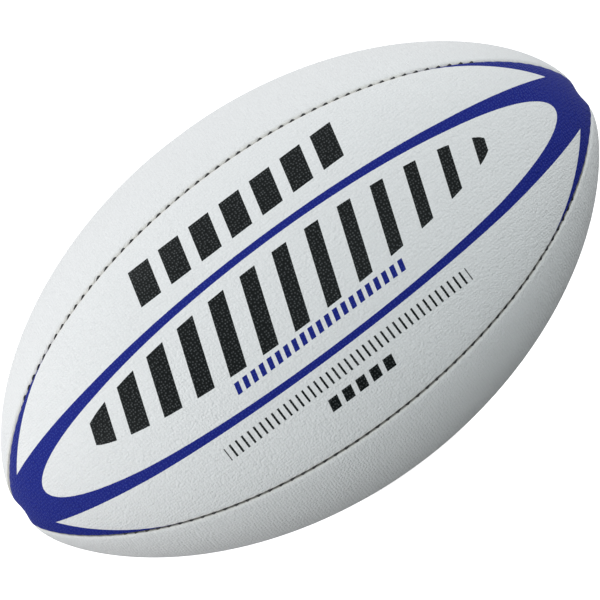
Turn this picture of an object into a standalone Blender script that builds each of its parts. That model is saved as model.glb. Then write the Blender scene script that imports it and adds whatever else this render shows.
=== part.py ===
"""A junior rugby ball: four stitched panels, their backing plies, a bladder and its needle valve.

Metres, +Z up. The origin is the ball's centre, +X runs along its long axis, the decorated panel
faces -Y, and the valve is in the middle of the top panel.
"""

import math

import bmesh
import bpy
from mathutils import Vector

# The ball's outer surface, a turned profile with blunt, dimpled tips
HALF_LENGTH = 0.140  # of the profile before the dimples are sunk into its tips
RADIUS = 0.0808
TIP_POWER = 1.204  # the radius falls off as this power of the cosine, slimmer than an ellipse's 1
DIMPLE_DEPTH = 0.0025
DIMPLE_REACH = 0.006
LAST_RADIUS = 0.002  # the panels' ends leave a pinhole this large at each tip
SEAM_STAND = 0.031  # the section is slightly square at mid-length, with its corners at the seams
SEAM_SINK = 0.015  # and a little less so at the tips
TIP_CROWDING = 0.25  # how far the stations crowd towards the tips
STATIONS = 20  # lengthwise steps, shared by all layers so that their facets stay parallel
ACROSS = 6  # steps across a panel between its two rounded edges

# Layers, as depths below the outer surface
GAP = 0.0003
SKIN = 0.0012
PLY = 0.0008
PATCH = 0.0006
BLADDER = 0.0010
OUTER_PLY_DEPTH = SKIN + GAP
INNER_PLY_DEPTH = OUTER_PLY_DEPTH + PLY + GAP
PANEL_PATCH_DEPTH = INNER_PLY_DEPTH + PLY + GAP
BLADDER_PATCH_DEPTH = PANEL_PATCH_DEPTH + PATCH + GAP
BLADDER_DEPTH = BLADDER_PATCH_DEPTH + PATCH + 2 * GAP

# The seams: each panel's edge rolls inwards into a lip, and two lips meet at the seam plane
SEAM_ROLL = 0.0020
LIP_DEPTH = 0.0036
SEAM_CLEAR = GAP / 2
PLY_EDGE = 0.0026
SEAM_FULL_RADIUS = 0.009  # nearer the axis than this, the seam's sizes shrink with the radius
THREAD_RADIUS = 0.00035
THREAD_DEPTH = 0.00055

# The valve, turned about the vertical through the top panel's middle
NECK_HOLE = 0.0045
NECK = NECK_HOLE - GAP
VALVE_RECESS = 0.0004
FLANGE = 0.0080
FLANGE_DEPTH = BLADDER_DEPTH + BLADDER + 0.0016  # clear of the bladder's curved inside
FLANGE_THICKNESS = 0.0012
STEM = 0.0060
STEM_DEPTH = 0.024
BORE = 0.0026
BORE_DEPTH = 0.020
CORE = BORE - GAP
CORE_RECESS = 0.0012
NEEDLE_HOLE = 0.0005
NEEDLE_HOLE_DEPTH = 0.014
PANEL_PATCH_RADIUS = 0.017
BLADDER_PATCH_RADIUS = 0.013
CHAMFER = 0.0003

SIDES = ("front", "top", "back", "bottom")
QUARTER = math.pi / 2
LAST_SWING = math.acos((LAST_RADIUS / RADIUS) ** (1 / TIP_POWER))


def clear_scene():
    for obj in list(bpy.data.objects):
        bpy.data.objects.remove(obj, do_unlink=True)


def new_collection(name):
    collection = bpy.data.collections.new(name)
    bpy.context.scene.collection.children.link(collection)
    return collection


def new_material(name, colour, roughness):
    material = bpy.data.materials.new(name)
    material.use_nodes = True
    shader = material.node_tree.nodes["Principled BSDF"]
    shader.inputs["Base Color"].default_value = (*colour, 1)
    shader.inputs["Roughness"].default_value = roughness
    shader.inputs["Metallic"].default_value = 0
    return material


def outline(t):
    """The outer profile's point (x, radius) at t, from -1 at one tip to 1 at the other."""
    swing = LAST_SWING * ((1 + TIP_CROWDING) * t - TIP_CROWDING * t**3)
    radius = RADIUS * math.cos(swing) ** TIP_POWER
    dimple = DIMPLE_DEPTH * math.exp(-((radius / DIMPLE_REACH) ** 2))
    return HALF_LENGTH * math.sin(swing) - math.copysign(dimple, t), radius


def outward(t):
    """The outer profile's unit normal (x, radius) at t."""
    step = 1e-4
    x0, r0 = outline(max(t - step, -1))
    x1, r1 = outline(min(t + step, 1))
    length = math.hypot(x1 - x0, r1 - r0)
    return (r0 - r1) / length, (x1 - x0) / length


def seam_stand(x):
    """How far the seam stands out of the turned profile at x, as a share of the radius there."""
    return SEAM_STAND - SEAM_SINK * (x / HALF_LENGTH) ** 4


def seam_scale(t):
    """How much of a seam's full size is left at t, where the panels narrow towards a tip."""
    return min(1.0, outline(t)[1] / SEAM_FULL_RADIUS)


def on_ball(t, share, clear, depth):
    """A point of the front panel: share runs from -1 to 1 between lines that keep clear of the seams."""
    scale = seam_scale(t)
    x, radius = outline(t)
    normal_x, normal_radius = outward(t)
    stand = seam_stand(x)
    x -= normal_x * depth * scale
    radius -= normal_radius * depth * scale
    angle = share * (QUARTER / 2 - math.asin(clear * scale / radius / (1 + stand)))
    radius *= 1 + stand * math.sin(2 * angle) ** 2
    return Vector((x, -radius * math.cos(angle), radius * math.sin(angle)))


def edge_roll(turn_radius, clear, depth):
    """Corners (distance from the seam plane, depth) of a rolled edge, from its lip up to the face."""
    corners = [(clear, LIP_DEPTH)]
    for degrees in (0, 45, 90):
        turn = math.radians(degrees)
        across = clear + turn_radius * (1 - math.cos(turn))
        corners.append((across, depth + turn_radius * (1 - math.sin(turn))))
    return corners


def across_panel(edge):
    """One face of a layer, (share, distance from the seam plane, depth) from one edge to the other."""
    clear, depth = edge[-1]
    left = [(-1, *corner) for corner in edge]
    middle = [(2 * i / ACROSS - 1, clear, depth) for i in range(1, ACROSS)]
    right = [(1, *corner) for corner in reversed(edge)]
    return left + middle + right


def loft(name, outer, inner, first, last):
    """A closed solid between two faces of a layer, carried along the stations first to last."""
    mesh = bpy.data.meshes.new(name)
    shape = bmesh.new()
    rows = []
    for station in range(first, last + 1):
        t = 2 * station / STATIONS - 1
        rows.append([shape.verts.new(on_ball(t, *corner)) for corner in outer + inner[::-1]])
    count = len(rows[0])
    for row, following in zip(rows, rows[1:]):
        for i in range(count):
            j = (i + 1) % count
            shape.faces.new((row[i], row[j], following[j], following[i]))
    for row in (rows[0], rows[-1]):
        for i in range(len(outer) - 1):
            shape.faces.new((row[i], row[i + 1], row[count - 2 - i], row[count - 1 - i]))
    bmesh.ops.recalc_face_normals(shape, faces=shape.faces)
    shape.to_mesh(mesh)
    shape.free()
    mesh.shade_smooth()
    mesh.set_sharp_from_angle(angle=math.radians(40))
    return mesh


def add_part(name, data, material, parent, collection, turn=0.0):
    part = bpy.data.objects.new(name, data)
    part.rotation_euler.x = turn
    part.parent = parent
    if not data.materials:
        data.materials.append(material)
    collection.objects.link(part)
    return part


def add_boolean(part, cutter, operation):
    cut = part.modifiers.new("cut_" + cutter.name, "BOOLEAN")
    cut.operation = operation
    cut.object = cutter
    cut.solver = "EXACT"
    return cut


def turned(name, profile, axis, steps, collection):
    """A solid of revolution about the object's own axis, from profile points (along, radius)."""
    mesh = bpy.data.meshes.new(name)
    if axis == "X":
        points = [(along, 0, radius) for along, radius in profile]
    else:
        points = [(radius, 0, along) for along, radius in profile]
    mesh.from_pydata(points, [(i, i + 1) for i in range(len(points) - 1)], [])
    part = bpy.data.objects.new(name, mesh)
    collection.objects.link(part)
    screw = part.modifiers.new("turn", "SCREW")
    screw.axis = axis
    screw.steps = steps
    screw.render_steps = steps
    screw.use_merge_vertices = True
    screw.merge_threshold = 1e-5
    screw.use_smooth_shade = True
    return part


def make_cutters(collection):
    """The valve's neck hole, and a ring for each round patch: the neck hole with an outer edge."""
    high, low = 0.01, -0.02
    cutters = {}
    hole = [(high, 0), (high, NECK_HOLE), (low, NECK_HOLE), (low, 0)]
    rings = {"neck_hole": hole}
    for name, edge in (("panel_ring", PANEL_PATCH_RADIUS), ("bladder_ring", BLADDER_PATCH_RADIUS)):
        rings[name] = [(low, NECK_HOLE), (high, NECK_HOLE), (high, edge), (low, edge), (low, NECK_HOLE)]
    for name, profile in rings.items():
        cutter = turned(name, profile, "Z", 32, collection)
        cutter.location.z = RADIUS
        cutter.hide_render = True
        cutter.display_type = "WIRE"
        cutters[name] = cutter
    return cutters


def make_panels(parent, collection, leather, neck_hole):
    outer = across_panel(edge_roll(SEAM_ROLL, SEAM_CLEAR, 0))
    inner = across_panel(edge_roll(SEAM_ROLL - SKIN, SEAM_CLEAR + SKIN, SKIN))
    mesh = loft("panel", outer, inner, 0, STATIONS)
    for i, side in enumerate(SIDES):
        panel = add_part("panel_" + side, mesh, leather, parent, collection, -i * QUARTER)
        if side == "top":
            add_boolean(panel, neck_hole, "DIFFERENCE")


def make_sheet(name, depth, thickness, first, last):
    """A plain layer of one panel, which stops short of the seams' lips."""
    outer = across_panel([(PLY_EDGE, depth)])
    inner = across_panel([(PLY_EDGE, depth + thickness)])
    return loft(name, outer, inner, first, last)


def make_plies(parent, collection, cloth, neck_hole):
    for layer, depth in (("outer", OUTER_PLY_DEPTH), ("inner", INNER_PLY_DEPTH)):
        mesh = make_sheet("ply_" + layer, depth, PLY, 1, STATIONS - 1)
        for i, side in enumerate(SIDES):
            name = f"{layer}_ply_{side}"
            ply = add_part(name, mesh, cloth, parent, collection, -i * QUARTER)
            if side == "top":
                add_boolean(ply, neck_hole, "DIFFERENCE")


def make_threads(parent, collection, thread):
    """One thread along each seam, sunk in the groove between two rolled edges."""
    curve = bpy.data.curves.new("seam_thread", "CURVE")
    curve.dimensions = "3D"
    curve.bevel_depth = THREAD_RADIUS
    curve.bevel_resolution = 1
    curve.use_fill_caps = True
    line = curve.splines.new("POLY")
    line.points.add(STATIONS)
    for station, point in enumerate(line.points):
        t = 2 * station / STATIONS - 1
        point.co = (*on_ball(t, 1, 0, THREAD_DEPTH), 1)
        point.radius = seam_scale(t)
    for i, side in enumerate(SIDES):
        name = f"seam_thread_{side}_{SIDES[(i + 1) % len(SIDES)]}"
        add_part(name, curve, thread, parent, collection, -i * QUARTER)


def make_patches(parent, collection, cloth, rubber, cutters):
    """Two round reinforcements at the valve, one glued in the panel and one on the bladder."""
    middle = STATIONS // 2
    for name, depth, material, ring in (
        ("valve_patch_panel", PANEL_PATCH_DEPTH, cloth, cutters["panel_ring"]),
        ("valve_patch_bladder", BLADDER_PATCH_DEPTH, rubber, cutters["bladder_ring"]),
    ):
        mesh = make_sheet(name, depth, PATCH, middle - 2, middle + 2)
        patch = add_part(name, mesh, material, parent, collection, -QUARTER)
        add_boolean(patch, ring, "INTERSECT")


def make_bladder(parent, collection, rubber, neck_hole):
    """The airtight liner: the ball's profile drawn in, without dimples, and with a hole for the valve."""
    half_length = HALF_LENGTH - 1.4 * BLADDER_DEPTH
    radius = RADIUS - BLADDER_DEPTH
    profile = []
    for station in range(STATIONS + 1):
        swing = QUARTER * (1 - 2 * station / STATIONS)
        profile.append((half_length * math.sin(swing), radius * max(math.cos(swing), 0) ** TIP_POWER))
    profile[0] = (half_length, 0)
    profile[-1] = (-half_length, 0)
    bladder = turned("bladder", profile, "X", 24, collection)
    bladder.parent = parent
    bladder.data.materials.append(rubber)
    wall = bladder.modifiers.new("wall", "SOLIDIFY")
    wall.thickness = BLADDER
    wall.offset = -1
    add_boolean(bladder, neck_hole, "DIFFERENCE")


def make_valve(parent, collection, rubber, core_rubber):
    """The housing holds the self-sealing core, and its flange bears on the bladder from inside."""
    top = -VALVE_RECESS
    under_flange = -FLANGE_DEPTH - FLANGE_THICKNESS
    housing_profile = [
        (-BORE_DEPTH, 0),
        (-BORE_DEPTH, BORE),
        (top - CHAMFER, BORE),
        (top, BORE + CHAMFER),
        (top, NECK - CHAMFER),
        (top - CHAMFER, NECK),
        (-FLANGE_DEPTH, NECK),
        (-FLANGE_DEPTH, FLANGE),
        (under_flange, FLANGE),
        (under_flange - CHAMFER, STEM),
        (-STEM_DEPTH + 5 * CHAMFER, STEM),
        (-STEM_DEPTH, STEM - 5 * CHAMFER),
        (-STEM_DEPTH, 0),
    ]
    funnel = 2 * NEEDLE_HOLE
    core_top = -CORE_RECESS
    core_bottom = -BORE_DEPTH + GAP
    core_profile = [
        (-NEEDLE_HOLE_DEPTH, 0),
        (-NEEDLE_HOLE_DEPTH, NEEDLE_HOLE),
        (core_top - funnel, NEEDLE_HOLE),
        (core_top, funnel),
        (core_top, CORE - CHAMFER),
        (core_top - CHAMFER, CORE),
        (core_bottom + CHAMFER, CORE),
        (core_bottom, CORE - CHAMFER),
        (core_bottom, 0),
    ]
    for name, profile, material in (
        ("valve_housing", housing_profile, rubber),
        ("valve_core", core_profile, core_rubber),
    ):
        part = turned(name, profile, "Z", 24, collection)
        part.parent = parent
        part.location.z = RADIUS
        part.data.materials.append(material)


def main():
    clear_scene()
    parts = new_collection("rugby_ball")
    helpers = new_collection("cutters")
    centre = bpy.data.objects.new("ball_centre", None)
    parts.objects.link(centre)

    leather = new_material("synthetic_leather", (0.80, 0.81, 0.81), 0.45)
    cloth = new_material("backing_cloth", (0.62, 0.58, 0.48), 0.9)
    thread = new_material("thread", (0.03, 0.03, 0.03), 0.6)
    latex = new_material("bladder_latex", (0.35, 0.20, 0.10), 0.5)
    rubber = new_material("valve_rubber", (0.03, 0.03, 0.03), 0.55)
    core_rubber = new_material("core_rubber", (0.12, 0.12, 0.13), 0.5)

    cutters = make_cutters(helpers)
    make_panels(centre, parts, leather, cutters["neck_hole"])
    make_plies(centre, parts, cloth, cutters["neck_hole"])
    make_threads(centre, parts, thread)
    make_patches(centre, parts, cloth, latex, cutters)
    make_bladder(centre, parts, latex, cutters["neck_hole"])
    make_valve(centre, parts, rubber, core_rubber)


main()
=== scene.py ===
"""The finished looks of a junior rugby ball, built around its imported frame.

Metres, +Z up, +X along the ball's long axis. Every panel is modelled facing -Y and then turned into
its place. Shader code works in millimetres.
"""

import math

import bmesh
import bpy
import numpy as np
from mathutils import Matrix, Vector


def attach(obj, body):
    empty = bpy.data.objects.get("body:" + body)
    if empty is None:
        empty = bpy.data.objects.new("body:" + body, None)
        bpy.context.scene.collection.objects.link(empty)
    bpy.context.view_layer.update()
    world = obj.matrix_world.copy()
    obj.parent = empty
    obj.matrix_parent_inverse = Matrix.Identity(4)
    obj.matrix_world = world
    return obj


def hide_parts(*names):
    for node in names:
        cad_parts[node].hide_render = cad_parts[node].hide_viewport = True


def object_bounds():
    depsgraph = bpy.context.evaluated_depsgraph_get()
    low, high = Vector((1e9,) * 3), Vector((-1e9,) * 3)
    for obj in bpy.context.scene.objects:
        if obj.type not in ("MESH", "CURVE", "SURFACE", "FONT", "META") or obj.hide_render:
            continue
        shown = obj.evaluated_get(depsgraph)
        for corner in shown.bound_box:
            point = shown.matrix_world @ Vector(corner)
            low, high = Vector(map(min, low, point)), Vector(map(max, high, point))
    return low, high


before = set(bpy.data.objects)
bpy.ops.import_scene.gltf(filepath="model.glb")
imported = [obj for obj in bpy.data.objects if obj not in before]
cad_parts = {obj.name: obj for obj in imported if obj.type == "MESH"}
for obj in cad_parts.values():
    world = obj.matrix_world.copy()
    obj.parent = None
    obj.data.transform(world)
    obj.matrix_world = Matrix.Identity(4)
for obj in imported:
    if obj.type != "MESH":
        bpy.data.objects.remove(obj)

CAD_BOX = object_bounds()
SIDES = ("front", "top", "back", "bottom")
QUARTER = math.pi / 2
DIAGONAL = math.sqrt(0.5)
MILLIMETRES = 1000  # in a metre
SHARP_EDGE = math.radians(40)

# The ball's outer surface: the frame's, with softer dimples at its tips
HALF_LENGTH = 0.1404  # before the dimples
RADIUS = CAD_BOX[1].y
TIP_POWER = 1.204  # of the cosine in the profile, where an ellipse has 1
LAST_RADIUS = 0.0006  # the pinhole where four panels meet
TIP_SWING = math.acos((LAST_RADIUS / RADIUS) ** (1 / TIP_POWER))
DIMPLE_DEPTH = 0.0034
FOLD_REACH = 0.0092  # how far the dimple reaches along the panels' middles
RIDGE_REACH = 0.0070  # and along the stiff seams
TIP_DRIFT = {-1: (0, -0.0012, -0.0016), 1: (0, 0.0023, -0.0021)}  # hand-stitched tips miss the axis
DRIFT_REACH = {-1: 0.028, 1: 0.018}
SEAM_STAND = 0.031  # the seams stand out by this share of the radius at mid-length
SEAM_SINK = 0.015  # and by this much less at the tips
SINK_POWER = 4

# Layers, as depths below the outer surface
GAP = 0.0003
SKIN = 0.0012
PLY = 0.0008
PATCH = 0.0006
BLADDER = 0.0010
OUTER_PLY_DEPTH = SKIN + GAP
INNER_PLY_DEPTH = OUTER_PLY_DEPTH + PLY + GAP
PANEL_PATCH_DEPTH = INNER_PLY_DEPTH + PLY + GAP
BLADDER_PATCH_DEPTH = PANEL_PATCH_DEPTH + PATCH + GAP
BLADDER_DEPTH = BLADDER_PATCH_DEPTH + PATCH + 2 * GAP
BLADDER_TIPS = 1.4  # times as deep at the tips, to clear the dimples

# Seams
SEAM_ROLL = {"front": 0.00125, "top": 0.0021, "back": 0.00125, "bottom": 0.0021}  # rolled edges' radii
SEAM_CLEAR = 0.00006  # from the seam plane to each lip
PLY_EDGE = 0.0026  # a ply ends this far from the seam
LIP_DEPTH = 0.0036
SEAM_FULL_RADIUS = 0.007  # nearer the axis than this, a seam's sizes shrink with the radius
STITCH = 0.0049  # from one stitch to the next
PUCKER = 0.00016  # how far a stitch pulls the edges in
PUCKER_REACH = 0.0022  # from the seam plane
THREAD_RADIUS = 0.00040
THREAD_TOP = 0.00048  # depth of the thread's middle where it shows
THREAD_BOTTOM = 0.0024  # and where it dives
THREAD_SWAY = 0.00052  # to each side of the seam plane
THREAD_SINK = 0.0012  # how much deeper it lies at the tips
SINK_RADIUS = 0.046  # where the ball is narrower than this
SINK_SPAN = 0.006
THREAD_FLATNESS = 2.2  # how square its wave is
THREAD_LAY = 0.0016  # from one ply to the next along the thread
PLIES = 3
PLY_BULGE = 0.12

# The valve, turned about the vertical through the top panel's middle
NECK_HOLE = 0.0045
HOLE_BEVEL = 0.0005
NECK = NECK_HOLE - GAP
VALVE_RECESS = 0.0004
FLANGE = 0.0080
FLANGE_DEPTH = BLADDER_DEPTH + BLADDER + 0.0016
FLANGE_THICKNESS = 0.0012
STEM = 0.0060
STEM_DEPTH = 0.024
BORE = 0.0026
BORE_DEPTH = 0.020
CORE = BORE - GAP
CORE_RECESS = 0.0012
NEEDLE_HOLE = 0.0005
NEEDLE_HOLE_DEPTH = 0.014
PANEL_PATCH_RADIUS = 0.017
BLADDER_PATCH_RADIUS = 0.013
VALVE_DISH = 0.00032  # the top panel is drawn down round the valve
DISH_REACH = 0.0075

# Mesh density
STATIONS = 460
ACROSS = 110
ROLL_STEPS = 9
INNER_ROLL_STEPS = 2
PLY_STATIONS = 120
PLY_SHARE = 0.925  # of the way to the tips
BLADDER_STATIONS = 120
PLY_ACROSS = 24
PATCH_RINGS = 8
SEAM_SAMPLES = 4001
THREAD_SAMPLES = 16  # in a stitch
THREAD_SIDES = 12
TURNED_STEPS = 96
ARC_STEPS = 6
FLANGE_STEPS = 10


def outline(t):
    """The outer profile's points (x, radius) at t, from -1 at one tip to 1 at the other."""
    swing = t * TIP_SWING
    return HALF_LENGTH * np.sin(swing), RADIUS * np.cos(swing) ** TIP_POWER


def outward(t):
    """The outer profile's unit normals (x, radius) at t."""
    step = 1e-4
    x0, r0 = outline(np.maximum(t - step, -1))
    x1, r1 = outline(np.minimum(t + step, 1))
    length = np.hypot(x1 - x0, r1 - r0)
    return (r0 - r1) / length, (x1 - x0) / length


def dimple(radius, seam):
    """The depth of the tips' dimples, where the four panels are drawn together."""
    reach = FOLD_REACH + (RIDGE_REACH - FOLD_REACH) * seam
    return DIMPLE_DEPTH * np.exp(-((radius / reach) ** 2))


def on_ball(t, share, clear, depth):
    """Points of the front panel; share runs from -1 to 1 between lines that keep clear of the seams."""
    x, radius = outline(t)
    normal_x, normal_radius = outward(t)
    scale = np.minimum(1, radius / SEAM_FULL_RADIUS)
    stand = SEAM_STAND - SEAM_SINK * (x / HALF_LENGTH) ** SINK_POWER
    x = x - normal_x * depth * scale
    radius = radius - normal_radius * depth * scale
    angle = share * (QUARTER / 2 - np.arcsin(clear * scale / radius / (1 + stand)))
    seam = np.sin(2 * angle) ** 2  # 1 at the seams and 0 along the panel's middle
    radius = radius * (1 + stand * seam)
    x = x - np.copysign(dimple(radius, seam), t)
    points = np.stack((x, -radius * np.cos(angle), radius * np.sin(angle)), -1)
    normals = np.stack(
        (normal_x + 0 * angle, -normal_radius * np.cos(angle), normal_radius * np.sin(angle)), -1
    )
    return points, normals


def lengths(points):
    """Distance along a line of points, zero at its middle."""
    steps = np.linalg.norm(np.diff(points, axis=-2), axis=-1)
    along = np.concatenate((np.zeros_like(steps[..., :1]), np.cumsum(steps, -1)), -1)
    return along - along[..., -1:] / 2


def seam_line(t):
    """A seam's points, their outward normals and the distance along it."""
    points, normals = on_ball(t, 1.0, 0.0, 0.0)
    return points, normals, lengths(points)


def new_object(name, data, turn=None):
    piece = bpy.data.objects.new(name, data)
    bpy.context.scene.collection.objects.link(piece)
    if turn:
        piece.matrix_world = turn
    return piece


def smooth(mesh):
    mesh.shade_smooth()
    mesh.set_sharp_from_angle(angle=SHARP_EDGE)


def bake(piece):
    """Gives a piece the mesh that its modifiers make."""
    made = piece.evaluated_get(bpy.context.evaluated_depsgraph_get())
    mesh = bpy.data.meshes.new_from_object(made)
    piece.modifiers.clear()
    piece.data = mesh


def cut(piece, cutter):
    hole = piece.modifiers.new("hole", "BOOLEAN")
    hole.operation = "DIFFERENCE"
    hole.solver = "EXACT"
    hole.object = cutter
    bake(piece)


# ---------------------------------------------------------------- shader arithmetic


class Field:
    """A value that varies over a surface: ordinary arithmetic on it adds shader nodes."""

    def __init__(self, tree, socket):
        self.tree = tree
        self.socket = socket

    def math(self, operation, *others, clamp=False):
        node = self.tree.nodes.new("ShaderNodeMath")
        node.operation = operation
        node.use_clamp = clamp
        for slot, value in zip(node.inputs, (self, *others)):
            feed(self.tree, slot, value)
        return Field(self.tree, node.outputs[0])

    def __add__(self, other):
        return self.math("ADD", other)

    def __sub__(self, other):
        return self.math("SUBTRACT", other)

    def __rsub__(self, other):
        return self.math("MULTIPLY_ADD", -1.0, other)

    def __mul__(self, other):
        return self.math("MULTIPLY", other)

    def __truediv__(self, other):
        return self.math("DIVIDE", other)

    def __pow__(self, other):
        return self.math("POWER", other)

    def __abs__(self):
        return self.math("ABSOLUTE")

    def below(self, limit, blur=0.06):
        """1 where the field is below the limit and 0 above it, over a soft step as wide as blur."""
        return ((limit - self) / blur + 0.5).math("ADD", 0.0, clamp=True)


def feed(tree, slot, value):
    """Links a field to a shader's slot, or sets the slot to a plain value."""
    if isinstance(value, Field):
        tree.links.new(value.socket, slot)
    else:
        slot.default_value = value


def both(a, b):
    """1 where two fields of 0 to 1 are both 1."""
    return a * b


def either(a, b):
    """1 where either field is 1."""
    return a.math("MAXIMUM", b)


def shade(colour, share):
    """A plain colour made darker, or lighter where the share is above 1."""
    return tuple(share * c for c in colour)


def mix_colour(factor, first, second):
    """Goes from the first colour to the second as factor, a field, goes from 0 to 1."""
    node = factor.tree.nodes.new("ShaderNodeMix")
    node.data_type = "RGBA"
    feed(factor.tree, node.inputs["Factor"], factor)
    for name, value in (("A", first), ("B", second)):
        slot = next(s for s in node.inputs if s.name == name and s.type == "RGBA")
        feed(factor.tree, slot, value if isinstance(value, Field) else (*value, 1))
    return Field(factor.tree, next(s for s in node.outputs if s.type == "RGBA"))


class Surface:
    """A new material, with its shader and the coordinates that its patterns start from."""

    def __init__(self, name):
        self.material = bpy.data.materials.new(name)
        self.material.use_nodes = True
        self.tree = self.material.node_tree
        self.shader = self.tree.nodes["Principled BSDF"]
        coordinates = self.tree.nodes.new("ShaderNodeTexCoord")
        self.place = self.scaled(coordinates.outputs["Object"], MILLIMETRES)

    def scaled(self, socket, factor):
        node = self.tree.nodes.new("ShaderNodeVectorMath")
        node.operation = "SCALE"
        self.tree.links.new(socket, node.inputs[0])
        node.inputs["Scale"].default_value = factor
        return node.outputs[0]

    def stretched(self, socket, factors):
        node = self.tree.nodes.new("ShaderNodeVectorMath")
        node.operation = "MULTIPLY"
        self.tree.links.new(socket, node.inputs[0])
        node.inputs[1].default_value = factors
        return node.outputs[0]

    def parts(self, socket):
        node = self.tree.nodes.new("ShaderNodeSeparateXYZ")
        self.tree.links.new(socket, node.inputs[0])
        return [Field(self.tree, output) for output in node.outputs]

    def skin_place(self):
        """Distance along and across a panel, in millimetres, from its UV map."""
        node = self.tree.nodes.new("ShaderNodeUVMap")
        node.uv_map = "skin"
        return self.scaled(node.outputs["UV"], MILLIMETRES)

    def noise(self, place, size, detail=2.0, roughness=0.5):
        """Smooth noise, about 0 to 1, whose features are about as large as size."""
        node = self.tree.nodes.new("ShaderNodeTexNoise")
        self.tree.links.new(place, node.inputs["Vector"])
        node.inputs["Scale"].default_value = 1 / size
        node.inputs["Detail"].default_value = detail
        node.inputs["Roughness"].default_value = roughness
        return Field(self.tree, node.outputs["Fac"])

    def cells(self, place, size, feature="F1", randomness=1.0):
        """Distance within flat cells about as large as size, or to the cells' edges."""
        node = self.tree.nodes.new("ShaderNodeTexVoronoi")
        node.voronoi_dimensions = "2D"
        node.feature = feature
        self.tree.links.new(place, node.inputs["Vector"])
        node.inputs["Scale"].default_value = 1 / size
        node.inputs["Randomness"].default_value = randomness
        return Field(self.tree, node.outputs["Distance"])

    def relief(self, height):
        """Bumps, from a height in millimetres."""
        node = self.tree.nodes.new("ShaderNodeBump")
        node.inputs["Strength"].default_value = 1
        node.inputs["Distance"].default_value = 1 / MILLIMETRES
        feed(self.tree, node.inputs["Height"], height)
        self.tree.links.new(node.outputs[0], self.shader.inputs["Normal"])

    def set(self, **values):
        """Fills the shader's slots, each named by its label in lower case."""
        for name, value in values.items():
            slot = self.shader.inputs[name.replace("_", " ").title().replace("Ior", "IOR")]
            if isinstance(value, tuple):
                value = (*value, 1)
            feed(self.tree, slot, value)


# ---------------------------------------------------------------- materials

WHITE = (0.80, 0.81, 0.815)
# A cream tone, made bright enough to serve also as a painted highlight by the seams
CREAM_AND_HIGHLIGHT_COLOUR = (0.82, 0.79, 0.70)
# The next colour is painted shade for the seams' grooves
SEAM_SHADE_COLOUR = (0.10, 0.093, 0.080)
BLUE = (0.010, 0.018, 0.215)
BLUE_GLINT = (0.060, 0.100, 0.420)
BLACK = (0.0040, 0.0060, 0.0062)
BLACK_GLINT = (0.12, 0.13, 0.135)
CLOTH = (0.62, 0.58, 0.48)
PATCH_CLOTH = (0.70, 0.68, 0.62)
GLUE = (0.50, 0.42, 0.26)
LATEX = (0.35, 0.20, 0.10)
TALC = (0.66, 0.62, 0.56)
RUBBER = (0.022, 0.022, 0.023)
CORE_RUBBER = (0.11, 0.11, 0.12)
DUST = (0.45, 0.43, 0.40)
THREAD = (0.014, 0.014, 0.015)

# Leather. In this group and the next two, sizes and heights are in millimetres.
PEBBLE = 1.25  # across one pebble
PEBBLE_DISORDER = 0.55  # 0 is a square grid
PEBBLE_HEIGHT = 0.26
CREASE_WIDTH = 0.10
CREASE_DEPTH = 0.04
CREASE_SHADE = 0.10
CREASE_ROUGHNESS = 0.10  # more than on the pebbles
WRINKLE_HEIGHT = 0.45
SWELL_HEIGHT = 0.25
MOTTLE = 0.5
# The cream tone by the seams is partly a real tint and partly a painted highlight on the rolled edges
CREAM_AND_HIGHLIGHT = 0.5  # strength of the cream tone by the seams
CREAM_AND_HIGHLIGHT_REACH = 1.0
CREAM_AND_HIGHLIGHT_BLUR = 1.6
# Painted shade in the seams' grooves, from 0 to 1: weak in the upper seams, strong in the lower ones,
# which get less light
UPPER_SEAM_SHADE = 0.35
LOWER_SEAM_SHADE = 0.85
SEAM_SHADE_REACH = 0.9  # at full strength
LEAST_SEAM_SHADE_REACH = 0.02
SEAM_SHADE_BLUR = 0.36
LEATHER_ROUGHNESS = 0.42
ROUGHNESS_SPREAD = 0.08
LEATHER_SPECULAR = 0.07

# Print, placed along and up from a panel's middle
RING_INSIDE = (124.6, 23.6)  # half sizes of the ring's two ovals
RING_OUTSIDE = (145.5, 26.5)
RING_HANG = 0.75  # how much lower the ring lies from HANG_REACH to its ends
HANG_REACH = 85
EDGING_START = 86  # from here to the tips, blue edges the seams
EDGING_FADE = 8
EDGING_WIDTH = 0.9
EDGING_CUT = 0.95  # what its width loses before the start
CORNER_START = 92  # from here the edging widens into the corners
CORNER_GROWTH = 0.031
CORNER_POWER = 1.5
BLUE_DASHES = dict(middle=-14.6, height=4.6, pitch=3.9, fill=0.56, slant=0.25, half_length=41)
UPPER_BLOCKS = dict(middle=39.5, height=14, pitch=14.6, fill=0.66, slant=0.25, half_length=51)
SMALL_BARS = dict(middle=-32.6, height=5.4, pitch=2.9, fill=0.30, slant=0, half_length=58)
SHORT_BLOCKS = dict(middle=-41.5, height=4.8, pitch=6.5, fill=0.66, slant=0.2, half_length=16.2)
BARS = dict(middle=3.5, height=60, pitch=15.2, slant=0.36, half_length=120)
BARS_START = -100
BARS_FILL = 0.60  # at their start
BARS_THINNING = 0.0014  # loss of fill in a millimetre
LENS_MIDDLE = (-2, 4.2)  # of the oval that trims the bars
LENS = (97, 15)
INK_HEIGHT = 0.015
INK_SMOOTHNESS = 0.05
INK_RAGGEDNESS = 0.22
INK_WEAR = 0.03
BLUE_GLINTS = 0.6  # as a share of the black ink's
BLACK_COAT = 0.12
COAT_ROUGHNESS = 0.32

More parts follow.
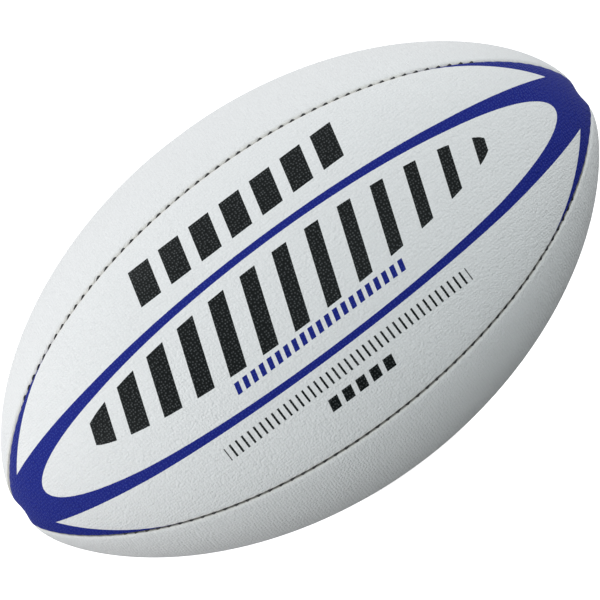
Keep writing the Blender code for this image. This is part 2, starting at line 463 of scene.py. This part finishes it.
# Other materials
WEFT_SHADE = 0.30
SLUB_SHADE = 0.35
SLUB_STRETCH = (0.25, 1.0, 1.0)
SLUB_HEIGHT = 0.05
WEAVE_HEIGHT = 0.14
GLUE_SHARE = 0.35
GLUE_SMOOTHNESS = 0.35
GLUE_HEIGHT = 0.03
CLOTH_ROUGHNESS = 0.92
LATEX_MOTTLE = 0.5
LATEX_ROUGHNESS = 0.42
LATEX_GRAIN = 0.03
LATEX_SWELL = 0.5
TALC_SHARE = 0.45
TALC_ROUGHNESS = 0.3  # more than bare latex
MOULD_LINE = 0.45  # half its width
MOULD_LINE_HEIGHT = 0.15
RUBBER_MOTTLE = 0.5
RUBBER_ROUGHNESS = 0.52
RUBBER_GRAIN = 0.03
DUST_SHARE = 0.10
DUST_ROUGHNESS = 0.25  # more than clean rubber
FIBRE_STRETCH = (0.4, 1.0, 1.0)
FIBRE_SHADE = 0.6
FIBRE_HEIGHT = 0.02
WAX_ROUGHNESS = 0.36  # at its shiniest
WAX_SPREAD = 0.35


def oval(x, z, length, height):
    """About the distance outside an ellipse with these half sizes, and less than 0 inside it."""
    across = x / length
    up = z / height
    size = (across * across + up * up) ** 0.5
    slope = ((across / length) ** 2 + (up / height) ** 2) ** 0.5
    return (size - 1) * size / slope


def block_row(x, z, middle, height, pitch, fill, slant, half_length):
    """A row of slanted blocks along x, centred on the height called middle."""
    level = z - middle
    skewed = x - level * slant
    in_block = skewed.math("PINGPONG", pitch / 2)
    block = (in_block - fill * (pitch / 2)).below(0)
    return both(both(block, abs(level).below(height / 2)), abs(skewed).below(half_length))


def printed_areas(x, z, from_seam):
    """The blue and the black ink of a decorated panel."""
    far = abs(x)
    level = z + (far / HANG_REACH).math("MINIMUM", 1.0) ** 2 * RING_HANG
    around = 1 - oval(x, level, *RING_INSIDE).below(0)
    ring = both(around, oval(x, level, *RING_OUTSIDE).below(0))
    corner = (far - CORNER_START).math("MAXIMUM", 0.0) ** CORNER_POWER * CORNER_GROWTH
    before_start = (far - EDGING_START).below(0, EDGING_FADE)
    edging = from_seam.below(corner - before_start * EDGING_CUT + EDGING_WIDTH)
    blue = either(either(ring, both(edging, around)), block_row(x, z, **BLUE_DASHES))

    lens = oval(x - LENS_MIDDLE[0], z - LENS_MIDDLE[1], *LENS).below(0)
    fill = BARS_FILL - (x - BARS_START) * BARS_THINNING
    bars = both(block_row(x, z, fill=fill, **BARS), lens)
    upper = block_row(x, z, **UPPER_BLOCKS)
    lower = either(block_row(x, z, **SMALL_BARS), block_row(x, z, **SHORT_BLOCKS))
    black = either(either(bars, upper), lower)
    return blue, black


def leather(name, printed, shade_above, shade_below):
    """Pebbled white synthetic leather, with or without its print.

    The seams along a panel's upper and lower edges get these amounts of painted shade, from 0 to 1.
    """
    surface = Surface(name)
    x, y, z = surface.parts(surface.place)
    from_seam = (0 - y - abs(z)) * DIAGONAL
    flat = surface.skin_place()

    domes = surface.cells(flat, PEBBLE, "SMOOTH_F1", randomness=PEBBLE_DISORDER)
    creases = surface.cells(flat, PEBBLE, "DISTANCE_TO_EDGE", randomness=PEBBLE_DISORDER)
    valley = creases.below(CREASE_WIDTH, blur=0.12)
    wrinkle = surface.noise(flat, size=1.5, detail=2, roughness=0.6)
    swell = surface.noise(surface.place, size=14, detail=2)
    height = domes * -PEBBLE_HEIGHT - valley * CREASE_DEPTH
    height = height + wrinkle * WRINKLE_HEIGHT + swell * SWELL_HEIGHT

    tone = surface.noise(surface.place, size=40, detail=3)
    colour = mix_colour(tone * MOTTLE, WHITE, shade(WHITE, 0.95))
    # Painted shade in the creases between the pebbles
    colour = mix_colour(valley * CREASE_SHADE, colour, shade(WHITE, 0.6))
    # A cream tone by the seams, brightened into a painted highlight along the rolled edges
    colour = mix_colour(from_seam.below(CREAM_AND_HIGHLIGHT_REACH, CREAM_AND_HIGHLIGHT_BLUR) * CREAM_AND_HIGHLIGHT, colour, CREAM_AND_HIGHLIGHT_COLOUR)
    # Painted shade in the seams' grooves, stronger and wider along the panel's lower edge
    seam_shade = z.below(0) * (shade_below - shade_above) + shade_above
    groove = from_seam.below(seam_shade * SEAM_SHADE_REACH + LEAST_SEAM_SHADE_REACH, SEAM_SHADE_BLUR)
    colour = mix_colour(both(groove, seam_shade), colour, SEAM_SHADE_COLOUR)
    roughness = surface.noise(flat, size=3.0, detail=2) * ROUGHNESS_SPREAD + LEATHER_ROUGHNESS
    roughness = roughness + valley * CREASE_ROUGHNESS

    if printed:
        ragged = (surface.noise(flat, size=0.45, detail=1) - 0.5) * INK_RAGGEDNESS
        blue, black = printed_areas(x + ragged, z + ragged, from_seam)
        worn = surface.noise(flat, size=0.6, detail=3, roughness=0.7).below(0.33, blur=0.05) * INK_WEAR
        tops = surface.cells(flat, PEBBLE, randomness=PEBBLE_DISORDER).below(0.22, blur=0.20)
        glints = tops * surface.noise(flat, size=2.2, detail=3, roughness=0.7)
        blue_ink = mix_colour(glints * BLUE_GLINTS, BLUE, BLUE_GLINT)
        black_ink = mix_colour(glints, BLACK, BLACK_GLINT)
        colour = mix_colour(blue * (1 - worn), colour, blue_ink)
        colour = mix_colour(black * (1 - worn), colour, black_ink)
        ink = either(blue, black)
        height = height + ink * INK_HEIGHT
        roughness = roughness - ink * INK_SMOOTHNESS
        surface.set(coat_weight=black * BLACK_COAT, coat_roughness=COAT_ROUGHNESS)
    surface.set(base_color=colour, roughness=roughness, specular_ior_level=LEATHER_SPECULAR)
    surface.relief(height)
    return surface.material


def cloth(name, colour, pitch):
    """A plain weave, its threads pitch millimetres apart, with patches of dried glue."""
    surface = Surface(name)
    x, y, z = surface.parts(surface.place)
    around = z.math("ARCTAN2", y * -1.0) * (y * y + z * z) ** 0.5
    rate = math.pi / pitch
    crossing = (x * rate).math("SINE") * (around * rate).math("SINE")
    slub = surface.noise(surface.stretched(surface.place, SLUB_STRETCH), size=0.8, detail=3)
    glue = surface.noise(surface.place, size=11, detail=4, roughness=0.6).below(0.46, blur=0.12)

    weft_over = crossing.below(0, blur=0.25)
    tone = mix_colour(weft_over * WEFT_SHADE + slub * SLUB_SHADE, colour, shade(colour, 0.62))
    tone = mix_colour(glue * GLUE_SHARE, tone, GLUE)
    surface.set(base_color=tone, roughness=CLOTH_ROUGHNESS - glue * GLUE_SMOOTHNESS)
    surface.relief(abs(crossing) ** 0.5 * WEAVE_HEIGHT + slub * SLUB_HEIGHT + glue * GLUE_HEIGHT)
    return surface.material


def latex():
    """Moulded latex with a fine mould line and a dusting of talc."""
    surface = Surface("bladder_latex")
    z = surface.parts(surface.place)[2]
    talc = surface.noise(surface.place, size=8, detail=6, roughness=0.68).below(0.52, blur=0.22)
    grain = surface.noise(surface.place, size=0.5, detail=2)
    swell = surface.noise(surface.place, size=20, detail=2)
    mould_line = abs(z).below(MOULD_LINE, blur=0.3)
    colour = mix_colour(swell * LATEX_MOTTLE, LATEX, shade(LATEX, 0.7))
    colour = mix_colour(talc * TALC_SHARE, colour, TALC)
    surface.set(base_color=colour, roughness=talc * TALC_ROUGHNESS + LATEX_ROUGHNESS)
    surface.relief(mould_line * MOULD_LINE_HEIGHT + grain * LATEX_GRAIN + swell * LATEX_SWELL)
    return surface.material


def rubber(name, colour):
    """Moulded matt rubber: a spark-eroded grain, and some dust."""
    surface = Surface(name)
    grain = surface.noise(surface.place, size=0.16, detail=3, roughness=0.6)
    dust = surface.noise(surface.place, size=1.8, detail=5, roughness=0.7).below(0.42, blur=0.12)
    toned = mix_colour(grain * RUBBER_MOTTLE, colour, shade(colour, 1.8))
    toned = mix_colour(dust * DUST_SHARE, toned, DUST)
    surface.set(base_color=toned, roughness=dust * DUST_ROUGHNESS + RUBBER_ROUGHNESS)
    surface.relief(grain * RUBBER_GRAIN)
    return surface.material


def waxed_thread():
    """Polyester plies, slightly shiny where the wax lies thick."""
    surface = Surface("waxed_thread")
    fibre = surface.noise(surface.stretched(surface.place, FIBRE_STRETCH), size=0.07, detail=2)
    wax = surface.noise(surface.place, size=1.4, detail=3)
    colour = mix_colour(fibre * FIBRE_SHADE, THREAD, shade(THREAD, 3.0))
    surface.set(base_color=colour, roughness=wax * WAX_SPREAD + WAX_ROUGHNESS)
    surface.relief(fibre * FIBRE_HEIGHT)
    return surface.material


# ---------------------------------------------------------------- shapes


def edge_roll(turn_radius, clear, depth, steps):
    """Corners (distance from the seam plane, depth) of a rolled edge, from its lip up to the face."""
    corners = [(clear, LIP_DEPTH)]
    for i in range(steps + 1):
        turn = QUARTER * i / steps
        across = clear + turn_radius * (1 - math.cos(turn))
        corners.append((across, depth + turn_radius * (1 - math.sin(turn))))
    return corners


def across_panel(edge, count):
    """One face of a layer, (share, distance from the seam plane, depth) from one edge to the other."""
    clear, depth = edge[-1]
    left = [(-1, *corner) for corner in edge]
    middle = [(2 * i / count - 1, clear, depth) for i in range(1, count)]
    right = [(1, *corner) for corner in reversed(edge)]
    return left + middle + right


def pull(points, along, dished):
    """How far a panel's surface lies below the plain ball: stitches, and the dish round the valve."""
    from_seam = (-points[..., 1] - np.abs(points[..., 2])) * DIAGONAL
    near = np.exp(-((from_seam / PUCKER_REACH) ** 2))
    depth = PUCKER * near * (0.5 + 0.5 * np.cos(2 * math.pi * along[:, None] / STITCH))
    if dished:
        away = np.hypot(points[..., 0], points[..., 2])
        depth = depth + VALVE_DISH * np.exp(-((away / DISH_REACH) ** 2))
    return depth


def drift(points, turn):
    """Moves both tips a little off the ball's axis, before turn takes the points to their side."""
    home = turn.to_3x3().transposed()
    radius = np.hypot(points[..., 1], points[..., 2])
    along = points @ np.array(home @ Vector((1, 0, 0)))
    for end, offset in TIP_DRIFT.items():
        near = np.exp(-((radius / DRIFT_REACH[end]) ** 2)) * (along * end > 0)
        points += near[..., None] * np.array(home @ Vector(offset))


def closed_mesh(name, rows, material, capped=True):
    """A tube of quads through rows of points, each row a ring. Its ends are capped, or else joined."""
    count, sides = rows.shape[:2]
    steps = count - 1 if capped else count
    a = (np.arange(steps)[:, None] * sides + np.arange(sides)[None, :]).ravel()
    b = (np.arange(steps)[:, None] * sides + (np.arange(sides)[None, :] + 1) % sides).ravel()
    total = count * sides
    faces = np.stack((a, (a + sides) % total, (b + sides) % total, b), -1).tolist()
    if capped:
        faces.append(list(range(sides)))
        faces.append([steps * sides + i for i in reversed(range(sides))])
    mesh = bpy.data.meshes.new(name)
    mesh.from_pydata(rows.reshape(-1, 3), [], faces)
    mesh.materials.append(material)
    smooth(mesh)
    return mesh


def loft(name, outer, inner, t, turn, material, skin=False, dished=False):
    """A closed layer of one panel between two faces, with a UV map of its real distances."""
    along = seam_line(t)[2]
    corners = np.array(outer + inner[::-1], dtype=float)
    points, normals = on_ball(t[:, None], *(corners[None, :, i] for i in range(3)))
    if skin:
        points = points - normals * pull(points, along, dished)[..., None]
    drift(points, turn)
    middle = lengths(np.stack(outline(t), -1))
    faces_uv = [lengths(points[:, : len(outer)]), -lengths(points[:, len(outer) :])]
    uv = np.stack(np.broadcast_arrays(middle[:, None], np.concatenate(faces_uv, 1)), -1)
    mesh = closed_mesh(name, points, material)
    corner_points = np.zeros(len(mesh.loops), dtype=int)
    mesh.loops.foreach_get("vertex_index", corner_points)
    mesh.uv_layers.new(name="skin").data.foreach_set("uv", uv.reshape(-1, 2)[corner_points].ravel())
    return mesh


def turn_of(i):
    """Turns the front side's shapes to side i. The back is turned about Z, so its print is upright."""
    return Matrix.Rotation(math.pi, 4, "Z") if i == 2 else Matrix.Rotation(-i * QUARTER, 4, "X")


def stand_for(piece, node):
    """Makes a piece the visible form of one of the frame's nodes."""
    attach(piece, "root")
    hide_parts(node)


def turned(name, profile, axis="Z"):
    """A closed piece of revolution from (radius, along) points that start and end on the axis."""
    angles = np.arange(TURNED_STEPS) * 2 * math.pi / TURNED_STEPS
    rings = np.array([point for point in profile if point[0] > 0])
    across = rings[:, :1, None] * np.stack((np.cos(angles), np.sin(angles)), -1)[None]
    along = np.broadcast_to(rings[:, 1, None, None], across.shape[:2] + (1,))
    points = np.concatenate((across, along), -1).reshape(-1, 3)
    start = len(points)
    end = start + 1
    points = np.concatenate((points, [(0, 0, profile[0][1]), (0, 0, profile[-1][1])]))
    if axis == "X":
        points = points[:, (2, 0, 1)]
    shape = bmesh.new()
    corners = [shape.verts.new(point) for point in points]
    last = (len(rings) - 1) * TURNED_STEPS
    for i in range(TURNED_STEPS):
        j = (i + 1) % TURNED_STEPS
        shape.faces.new((corners[start], corners[i], corners[j]))
        shape.faces.new((corners[end], corners[last + j], corners[last + i]))
        for row in range(0, last, TURNED_STEPS):
            below = row + TURNED_STEPS
            shape.faces.new((corners[row + i], corners[below + i], corners[below + j], corners[row + j]))
    bmesh.ops.recalc_face_normals(shape, faces=shape.faces)
    mesh = bpy.data.meshes.new(name)
    shape.to_mesh(mesh)
    shape.free()
    smooth(mesh)
    return new_object(name, mesh)


def arc(radius, along, size, start, end, steps=ARC_STEPS):
    """Points (radius, along) on an arc about a centre, between two angles in degrees from outwards."""
    turns = [math.radians(start + (end - start) * i / steps) for i in range(steps + 1)]
    return [(radius + size * math.cos(turn), along + size * math.sin(turn)) for turn in turns]


def make_hole_cutter():
    """The neck hole, flared at the skin's surface."""
    cutter_foot = -0.02
    bevel_foot = -0.0009
    bevel_head = 0.0003
    profile = [(0, cutter_foot), (NECK_HOLE, cutter_foot), (NECK_HOLE, bevel_foot)]
    profile += [(NECK_HOLE + 2 * HOLE_BEVEL, bevel_head), (0, bevel_head)]
    cutter = turned("neck_hole", profile)
    cutter.location.z = RADIUS
    return cutter


def make_panels(cutter):
    """The four skins. The lower seams get more painted shade than the upper ones."""
    printed = leather("printed_leather", True, UPPER_SEAM_SHADE, LOWER_SEAM_SHADE)
    leathers = {
        "front": printed,
        "top": leather("upper_leather", False, UPPER_SEAM_SHADE, UPPER_SEAM_SHADE),
        "back": printed,
        "bottom": leather("lower_leather", False, LOWER_SEAM_SHADE, LOWER_SEAM_SHADE),
    }
    t = np.linspace(-1, 1, STATIONS + 1)
    for i, side in enumerate(SIDES):
        roll = SEAM_ROLL[side]
        outer = across_panel(edge_roll(roll, SEAM_CLEAR, 0, ROLL_STEPS), ACROSS)
        inner_edge = edge_roll(roll - SKIN, SEAM_CLEAR + SKIN, SKIN, INNER_ROLL_STEPS)
        inner = across_panel(inner_edge, PLY_ACROSS)
        turn = turn_of(i)
        mesh = loft("skin", outer, inner, t, turn, leathers[side], skin=True, dished=side == "top")
        panel = new_object("skin_" + side, mesh, turn)
        if side == "top":
            cut(panel, cutter)
        stand_for(panel, "panel_" + side)


def make_plies(backing, cutter):
    """Two layers of cloth behind each skin."""
    t = np.linspace(-PLY_SHARE, PLY_SHARE, PLY_STATIONS + 1)
    for layer, depth in (("outer", OUTER_PLY_DEPTH), ("inner", INNER_PLY_DEPTH)):
        outer = across_panel([(PLY_EDGE, depth)], PLY_ACROSS)
        inner = across_panel([(PLY_EDGE, depth + PLY)], PLY_ACROSS)
        for i, side in enumerate(SIDES):
            turn = turn_of(i)
            mesh = loft("ply", outer, inner, t, turn, backing)
            ply = new_object(f"{layer}_cloth_{side}", mesh, turn)
            if side == "top":
                cut(ply, cutter)
            stand_for(ply, f"{layer}_ply_{side}")


def round_patch(name, edge, depth, material):
    """A disc that follows the top panel, with the neck's hole and a bevelled edge."""
    bevel = PATCH / 3
    out = list(np.linspace(NECK_HOLE, edge - bevel, PATCH_RINGS))
    ring = [(away, depth + PATCH) for away in out] + [(edge, depth + PATCH), (edge, depth + bevel)]
    ring += [(away, depth) for away in reversed(out)]
    away, down = np.array(ring).T[:, None, :]
    angles = np.arange(TURNED_STEPS)[:, None] * 2 * math.pi / TURNED_STEPS
    t = np.arcsin(away * np.cos(angles) / HALF_LENGTH) / TIP_SWING
    share = np.arcsin(away * np.sin(angles) / RADIUS) / (QUARTER / 2)
    points = on_ball(t, share, 0.0, down)[0]
    return new_object(name, closed_mesh(name, points, material, capped=False), turn_of(1))


def make_patches(patch_cloth, patch_latex):
    """Two round reinforcements at the valve, one glued in the panel and one on the bladder."""
    in_panel = round_patch("patch_in_panel", PANEL_PATCH_RADIUS, PANEL_PATCH_DEPTH, patch_cloth)
    stand_for(in_panel, "valve_patch_panel")
    on_bladder = round_patch("patch_on_bladder", BLADDER_PATCH_RADIUS, BLADDER_PATCH_DEPTH, patch_latex)
    stand_for(on_bladder, "valve_patch_bladder")


def make_bladder(material, cutter):
    """The airtight liner: the ball's profile drawn in, without dimples, and with a hole for the valve."""
    half_length = HALF_LENGTH - BLADDER_TIPS * BLADDER_DEPTH
    radius = RADIUS - BLADDER_DEPTH
    profile = [(0, half_length)]
    for i in range(1, BLADDER_STATIONS):
        swing = QUARTER * (1 - 2 * i / BLADDER_STATIONS)
        profile.append((radius * math.cos(swing) ** TIP_POWER, half_length * math.sin(swing)))
    profile.append((0, -half_length))
    bladder = turned("airtight_bladder", profile, "X")
    bladder.data.materials.append(material)
    wall = bladder.modifiers.new("wall", "SOLIDIFY")
    wall.thickness = BLADDER
    wall.offset = -1
    cut(bladder, cutter)
    stand_for(bladder, "bladder")


def make_valve(rubber_material, core_material):
    """The housing holds the self-sealing core, and its flange bears on the bladder from inside."""
    lip = 0.0004  # the radii of its rounded edges
    rim = 0.0005
    foot = 0.0015
    top = -VALVE_RECESS
    half_flange = FLANGE_THICKNESS / 2
    under_flange = -FLANGE_DEPTH - FLANGE_THICKNESS
    housing = [(0, -BORE_DEPTH), (BORE, -BORE_DEPTH)]
    housing += arc(BORE + lip, top - lip, lip, 180, 90)
    housing += arc(NECK - rim, top - rim, rim, 90, 0)
    housing += arc(NECK + rim, -FLANGE_DEPTH + rim, rim, 180, 270)
    flange_middle = -FLANGE_DEPTH - half_flange
    housing += arc(FLANGE - half_flange, flange_middle, half_flange, 90, -90, FLANGE_STEPS)
    housing += arc(STEM + lip, under_flange - lip, lip, 90, 180)
    housing += arc(STEM - foot, -STEM_DEPTH + foot, foot, 0, -90)
    housing += [(0, -STEM_DEPTH)]

    core_top = -CORE_RECESS
    core_bottom = -BORE_DEPTH + GAP
    funnel = 2 * NEEDLE_HOLE
    core = [(0, -NEEDLE_HOLE_DEPTH), (NEEDLE_HOLE, -NEEDLE_HOLE_DEPTH)]
    core += arc(NEEDLE_HOLE + funnel, core_top - funnel, funnel, 180, 90)
    core += arc(CORE - lip, core_top - lip, lip, 90, 0)
    core += arc(CORE - lip, core_bottom + lip, lip, 0, -90)
    core += [(0, core_bottom)]
    for name, profile, material, node, slot in (
        ("needle_valve_housing", housing, rubber_material, "valve_housing", "valve_rubber"),
        ("needle_valve_core", core, core_material, "valve_core", "core_rubber"),
    ):
        piece = turned(name, profile)
        piece.location.z = RADIUS
        piece.data.materials.append(material)
        stand_for(piece, node)


def make_threads(material):
    """A plied thread along each seam. It shows as a slanted dash once every stitch and dives between."""
    fine = np.linspace(-1, 1, SEAM_SAMPLES)
    along = seam_line(fine)[2]
    stitches = int(along[-1] / STITCH)
    distance = np.linspace(-stitches, stitches, 2 * stitches * THREAD_SAMPLES + 1) * STITCH
    t = np.interp(distance, along, fine)
    phase = 2 * math.pi * distance / STITCH
    rise = np.tanh(THREAD_FLATNESS * np.cos(phase)) / math.tanh(THREAD_FLATNESS)
    depth = (THREAD_TOP + THREAD_BOTTOM) / 2 - (THREAD_BOTTOM - THREAD_TOP) / 2 * rise
    depth += THREAD_SINK * np.clip((SINK_RADIUS - outline(t)[1]) / SINK_SPAN, 0, 1)
    points = on_ball(t, 1.0, 0.0, depth)[0]
    scale = np.minimum(1, outline(t)[1] / SEAM_FULL_RADIUS)[:, None]
    over = np.array((0, DIAGONAL, DIAGONAL))  # from this panel towards the next
    path = points + over * (THREAD_SWAY * np.sin(phase))[:, None] * scale

    ahead = np.gradient(path, axis=0)
    ahead /= np.linalg.norm(ahead, axis=1, keepdims=True)
    side = over - ahead * (ahead @ over)[:, None]
    side /= np.linalg.norm(side, axis=1, keepdims=True)
    up = np.cross(side, ahead)
    round_it = np.arange(THREAD_SIDES) * 2 * math.pi / THREAD_SIDES
    twist = (2 * math.pi * distance / THREAD_LAY)[:, None]
    lobes = 1 + PLY_BULGE * np.cos(PLIES * round_it[None, :] - twist)
    radius = (THREAD_RADIUS * scale * lobes)[..., None]
    sideways = side[:, None] * np.cos(round_it)[None, :, None]
    upwards = up[:, None] * np.sin(round_it)[None, :, None]
    tube = path[:, None] + radius * (sideways + upwards)
    for i, name in enumerate(SIDES):
        turn = Matrix.Rotation(-i * QUARTER, 4, "X")
        drifted = tube.copy()
        drift(drifted, turn)
        seam = name + "_" + SIDES[(i + 1) % len(SIDES)]
        thread = new_object("stitches_" + seam, closed_mesh("thread", drifted, material), turn)
        stand_for(thread, "seam_thread_" + seam)


# ---------------------------------------------------------------- stage

CAMERA_DISTANCE = 2.0
CAMERA_LENS = 302
CAMERA_DROP = math.radians(1.1)  # below the ball's level
CAMERA_ROLL = math.radians(36.93)
CAMERA_AIM = (0.00025, -0.00034, 0)  # across and up the picture, from the ball's middle
CAMERA_REACH = (0.05, 60)
LIGHT_DISTANCE = 2.2
WORLD_COLOUR = (0.985, 1.0, 1.01)
WORLD_STRENGTH = 0.92
BRIGHT_ABOVE = 0.45  # as the height of a direction, which is 1 straight up
DARK_BELOW = -0.53
STAGE_RADIUS = 9
STAGE_STEPS = 96
STAGE_COLOUR = (0.55, 0.55, 0.55)
STAGE_ROUGHNESS = 0.9
FLOOR_GLOW = 0.9
BACKDROP_GLOW = 1.2


def make_camera():
    camera = new_object("camera", bpy.data.cameras.new("camera"))
    camera.data.lens = CAMERA_LENS
    camera.data.clip_start, camera.data.clip_end = CAMERA_REACH
    back = Vector((0, -math.cos(CAMERA_DROP), -math.sin(CAMERA_DROP)))
    level = back.to_track_quat("Z", "Y").to_matrix()
    rolled = level @ Matrix.Rotation(-CAMERA_ROLL, 3, "Z")
    aim = rolled @ Vector(CAMERA_AIM)
    camera.matrix_world = Matrix.Translation(aim + back * CAMERA_DISTANCE) @ rolled.to_4x4()
    bpy.context.scene.camera = camera


def add_light(name, azimuth, elevation, size, power, colour=(1, 1, 1)):
    """A round softbox that faces the ball. Azimuth 0 is on the camera's side and 90 is at +X."""
    light = bpy.data.lights.new(name, "AREA")
    light.shape = "DISK"
    light.size = size
    light.energy = power
    light.color = colour
    lamp = new_object(name, light)
    turn = math.radians(azimuth)
    rise = math.radians(elevation)
    away = Vector((math.sin(turn) * math.cos(rise), -math.cos(turn) * math.cos(rise), math.sin(rise)))
    lamp.location = away * LIGHT_DISTANCE
    lamp.rotation_euler = away.to_track_quat("Z", "Y").to_euler()


def make_world():
    """Light from all round, which fades to none far below."""
    world = bpy.data.worlds.new("studio")
    bpy.context.scene.world = world
    world.use_nodes = True
    tree = world.node_tree
    around = tree.nodes.new("ShaderNodeTexCoord").outputs["Generated"]
    parts = tree.nodes.new("ShaderNodeSeparateXYZ")
    tree.links.new(around, parts.inputs[0])
    rise = tree.nodes.new("ShaderNodeMapRange")
    tree.links.new(parts.outputs["Z"], rise.inputs["Value"])
    rise.inputs["From Min"].default_value = DARK_BELOW
    rise.inputs["From Max"].default_value = BRIGHT_ABOVE
    rise.inputs["To Max"].default_value = WORLD_STRENGTH
    background = tree.nodes["Background"]
    tree.links.new(rise.outputs[0], background.inputs["Strength"])
    background.inputs["Color"].default_value = (*WORLD_COLOUR, 1)


def stage_piece(name, glow):
    """Makes the new, active object a piece of the stage, which only the camera sees."""
    piece = bpy.context.object
    piece.name = name
    piece.visible_diffuse = False
    piece.visible_glossy = False
    piece.visible_shadow = False
    material = bpy.data.materials.new(name)
    material.use_nodes = True
    shader = material.node_tree.nodes["Principled BSDF"]
    shader.inputs["Base Color"].default_value = (*STAGE_COLOUR, 1)
    shader.inputs["Roughness"].default_value = STAGE_ROUGHNESS
    shader.inputs["Emission Color"].default_value = (1, 1, 1, 1)
    shader.inputs["Emission Strength"].default_value = glow
    piece.data.materials.append(material)


def make_stage():
    bpy.context.scene.view_settings.view_transform = "Standard"
    make_world()
    bpy.ops.mesh.primitive_circle_add(
        vertices=STAGE_STEPS, radius=STAGE_RADIUS, fill_type="NGON", location=(0, 0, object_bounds()[0].z)
    )
    stage_piece("floor", FLOOR_GLOW)
    bpy.ops.mesh.primitive_uv_sphere_add(
        segments=STAGE_STEPS, ring_count=STAGE_STEPS // 2, radius=STAGE_RADIUS
    )
    stage_piece("backdrop", BACKDROP_GLOW)
    add_light("left", azimuth=-75, elevation=-19, size=2.4, power=26.8)
    add_light("front", azimuth=20, elevation=-18, size=2.4, power=17.2, colour=(0.90, 0.99, 1.0))
    add_light("upper_left", azimuth=-75, elevation=60, size=1.0, power=8.5)
    add_light("right", azimuth=90, elevation=-5, size=2.4, power=8.0)


def main():
    make_camera()
    cutter = make_hole_cutter()
    backing = cloth("backing_weave", CLOTH, pitch=0.9)
    talced_latex = latex()
    make_panels(cutter)
    make_plies(backing, cutter)
    make_patches(cloth("patch_weave", PATCH_CLOTH, pitch=0.6), talced_latex)
    make_bladder(talced_latex, cutter)
    make_valve(rubber("valve_rubber", RUBBER), rubber("core_rubber", CORE_RUBBER))
    make_threads(waxed_thread())
    bpy.data.objects.remove(cutter)
    make_stage()


main()
